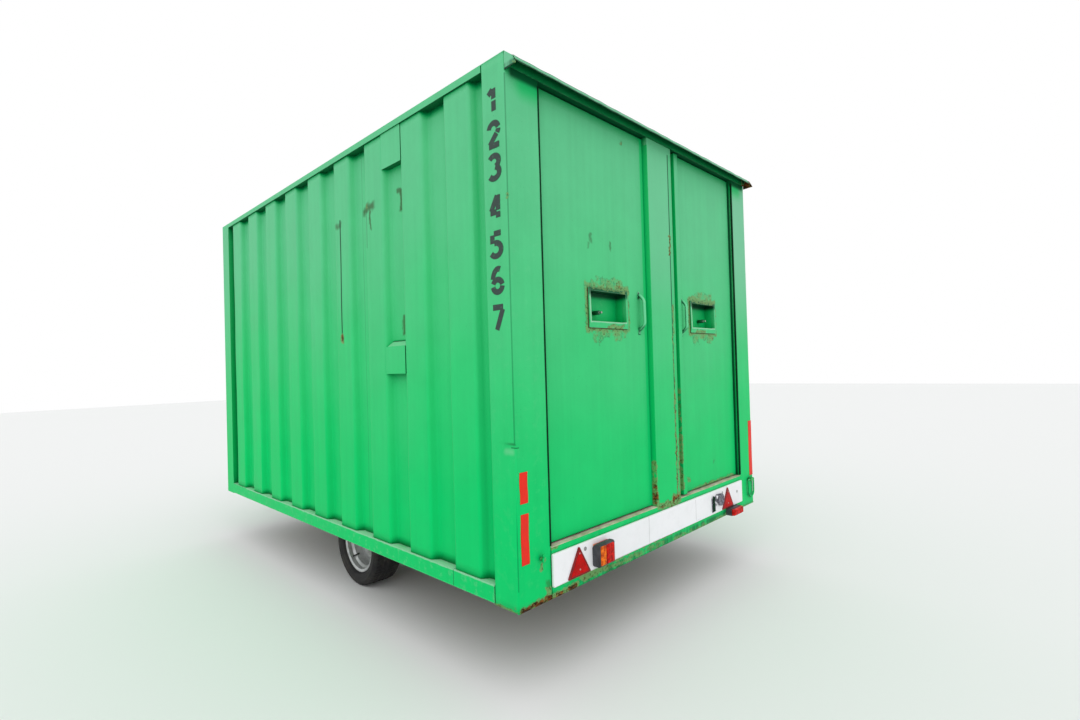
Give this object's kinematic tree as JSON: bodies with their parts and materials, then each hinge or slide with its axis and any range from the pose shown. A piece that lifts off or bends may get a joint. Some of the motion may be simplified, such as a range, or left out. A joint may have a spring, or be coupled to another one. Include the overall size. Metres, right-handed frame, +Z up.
{
  "type": "towable site cabin",
  "caption": "Weathered green steel site cabin on a braked trailer chassis, with ribbed walls, outward-opening rear doors, a rear light board and a jockey wheel.",
  "frame": {"origin": "on the ground at the centre of the overall box, wheels and jockey wheel standing on Z = 0", "axes": "+Y is the towing direction, +X is to the right when the rear doors are faced, +Z is up"},
  "size_m": [2.3, 4.9644, 2.681],
  "materials": {
    "cabin_paint": "weathered mid-green gloss paint over steel, with rust at the edges",
    "sill_steel": "worn paint with trodden-in dirt",
    "plywood": "worn phenolic plywood",
    "chassis_paint": "dark green and black chassis paint with road dirt",
    "lining": "painted lining board",
    "white_board": "chalky white paint with fine cracks",
    "red_reflector": "moulded reflector",
    "dark_plastic": "weathered black moulding",
    "amber_lens": "ribbed lens",
    "red_lens": "ribbed lens",
    "bright_steel": "worn bright steel with rust",
    "galvanised": "hot-dip galvanised",
    "hub_paint": "yellow-green paint",
    "wheel_silver": "silver wheel paint",
    "tyre": "dusty tread",
    "black_paint": "black paint",
    "jockey_rubber": "solid rubber"
  },
  "bodies": {
    "cabin": {"rear_post_left": "cabin_paint", "rear_post_right": "cabin_paint", "front_frame": "cabin_paint", "roof_frame": "cabin_paint", "bottom_rails": "cabin_paint", "side_panel_left": "cabin_paint", "side_panel_right": "cabin_paint", "front_panel": "cabin_paint", "window_blanks": "cabin_paint", "roof_panel": "cabin_paint", "rear_canopy": "cabin_paint", "rear_beam": "cabin_paint", "centre_mullion": "cabin_paint", "door_sills": "sill_steel", "floor_board": "plywood", "main_rails": "chassis_paint", "floor_joists": "chassis_paint", "drawbar_leg_left": "chassis_paint", "drawbar_leg_right": "chassis_paint", "partition_wall": "lining", "light_board": "white_board", "triangle_reflectors": "red_reflector", "lamp_housing_left": "dark_plastic", "lamp_lens_amber": "amber_lens", "lamp_lens_red": "red_lens", "broken_lamp_base": "dark_plastic", "marker_lamp_body": "dark_plastic", "marker_lamp_lens": "red_lens", "tie_down_fittings": "cabin_paint", "axle_beam": "galvanised", "coupling_housing": "galvanised", "jockey_outer_tube": "galvanised"},
    "door_left": {"door_skin_left": "cabin_paint", "door_frame_left": "chassis_paint", "lock_box_left": "cabin_paint", "pull_handle_left": "cabin_paint"},
    "spindle_left": {"lock_spindle_left": "bright_steel"},
    "bolt_left": {"shoot_bolt_left": "bright_steel"},
    "arm_left": {"suspension_arm_left": "chassis_paint"},
    "wheel_left": {"hub_left": "hub_paint", "rim_left": "wheel_silver", "tyre_left": "tyre"},
    "door_right": {"door_skin_right": "cabin_paint", "door_frame_right": "chassis_paint", "lock_box_right": "cabin_paint", "pull_handle_right": "cabin_paint"},
    "spindle_right": {"lock_spindle_right": "bright_steel"},
    "bolt_right": {"shoot_bolt_right": "bright_steel"},
    "arm_right": {"suspension_arm_right": "chassis_paint"},
    "wheel_right": {"hub_right": "hub_paint", "rim_right": "wheel_silver", "tyre_right": "tyre"},
    "ring": {"lashing_ring": "cabin_paint"},
    "towing_head": {"coupling_head": "galvanised"},
    "head_lever": {"coupling_lever": "black_paint"},
    "brake_lever": {"handbrake_lever": "galvanised"},
    "stem": {"jockey_stem": "galvanised"},
    "crank": {"jockey_crank": "black_paint"},
    "fork": {"jockey_fork": "galvanised"},
    "small_wheel": {"jockey_wheel": "jockey_rubber"}
  },
  "joints": [
    {"name": "door_hinge_left", "type": "hinge", "parent": "cabin", "child": "door_left", "pos_m": [-0.9155, -2.36575, 1.6], "axis": [0, 0, -1], "range_deg": [0, 100]},
    {"name": "spindle_turn_left", "type": "hinge", "parent": "door_left", "child": "spindle_left", "pos_m": [-0.503, -2.32825, 1.643], "axis": [0, 1, 0], "range_deg": [0, 90.1]},
    {"name": "bolt_throw_left", "type": "slide", "parent": "door_left", "child": "bolt_left", "axis": [1, 0, 0], "range_m": [0, 0.03]},
    {"name": "door_hinge_right", "type": "hinge", "parent": "cabin", "child": "door_right", "pos_m": [0.9155, -2.36575, 1.6], "axis": [0, 0, 1], "range_deg": [0, 100]},
    {"name": "spindle_turn_right", "type": "hinge", "parent": "door_right", "child": "spindle_right", "pos_m": [0.581, -2.32825, 1.643], "axis": [0, -1, 0], "range_deg": [0, 90.1]},
    {"name": "bolt_throw_right", "type": "slide", "parent": "door_right", "child": "bolt_right", "axis": [-1, 0, 0], "range_m": [0, 0.03]},
    {"name": "ring_swing", "type": "hinge", "parent": "cabin", "child": "ring", "pos_m": [1.09, -2.42725, 0.556], "axis": [-1, 0, 0], "range_deg": [0, 150]},
    {"name": "suspension_left", "type": "hinge", "parent": "cabin", "child": "arm_left", "pos_m": [-0.68, -0.57525, 0.302], "axis": [-1, 0, 0], "range_deg": [-12, 20], "stiffness_Nm_per_rad": 2800, "springref_deg": -16.7},
    {"name": "wheel_spin_left", "type": "hinge", "parent": "arm_left", "child": "wheel_left", "pos_m": [-0.87, -0.68525, 0.262], "axis": [1, 0, 0], "continuous": true},
    {"name": "suspension_right", "type": "hinge", "parent": "cabin", "child": "arm_right", "pos_m": [0.68, -0.57525, 0.302], "axis": [-1, 0, 0], "range_deg": [-12, 20], "stiffness_Nm_per_rad": 2800, "springref_deg": -16.7},
    {"name": "wheel_spin_right", "type": "hinge", "parent": "arm_right", "child": "wheel_right", "pos_m": [0.87, -0.68525, 0.262], "axis": [1, 0, 0], "continuous": true},
    {"name": "overrun_slide", "type": "slide", "parent": "cabin", "child": "towing_head", "axis": [0, 1, 0], "range_m": [-0.08, 0], "stiffness_N_per_m": 18000, "springref_m": 0.02},
    {"name": "head_lever_lift", "type": "hinge", "parent": "towing_head", "child": "head_lever", "pos_m": [0, 2.39875, 0.482], "axis": [-1, 0, 0], "range_deg": [0, 40], "stiffness_Nm_per_rad": 1.5, "springref_deg": -20.05},
    {"name": "brake_lever_turn", "type": "hinge", "parent": "cabin", "child": "brake_lever", "pos_m": [0.04, 2.11475, 0.496], "axis": [1, 0, 0], "range_deg": [0, 65]},
    {"name": "jockey_lift", "type": "slide", "parent": "cabin", "child": "stem", "axis": [0, 0, 1], "range_m": [-0.2, 0.1]},
    {"name": "crank_turn", "type": "hinge", "parent": "cabin", "child": "crank", "pos_m": [-0.25917, 1.86475, 0.77], "axis": [0, 0, 1], "range_deg": [-12010, 6005]},
    {"name": "jockey_swivel", "type": "hinge", "parent": "stem", "child": "fork", "pos_m": [-0.25917, 1.86475, 0.218], "axis": [0, 0, 1], "continuous": true},
    {"name": "jockey_wheel_spin", "type": "hinge", "parent": "fork", "child": "small_wheel", "pos_m": [-0.25917, 1.82975, 0.1], "axis": [1, 0, 0], "continuous": true}
  ],
  "couplings": [
    {"joint": "spindle_turn_left", "follows": "bolt_throw_left", "rad_per_m": 52.36},
    {"joint": "spindle_turn_right", "follows": "bolt_throw_right", "rad_per_m": 52.36},
    {"joint": "crank_turn", "follows": "jockey_lift", "rad_per_m": 1047.2}
  ]
}
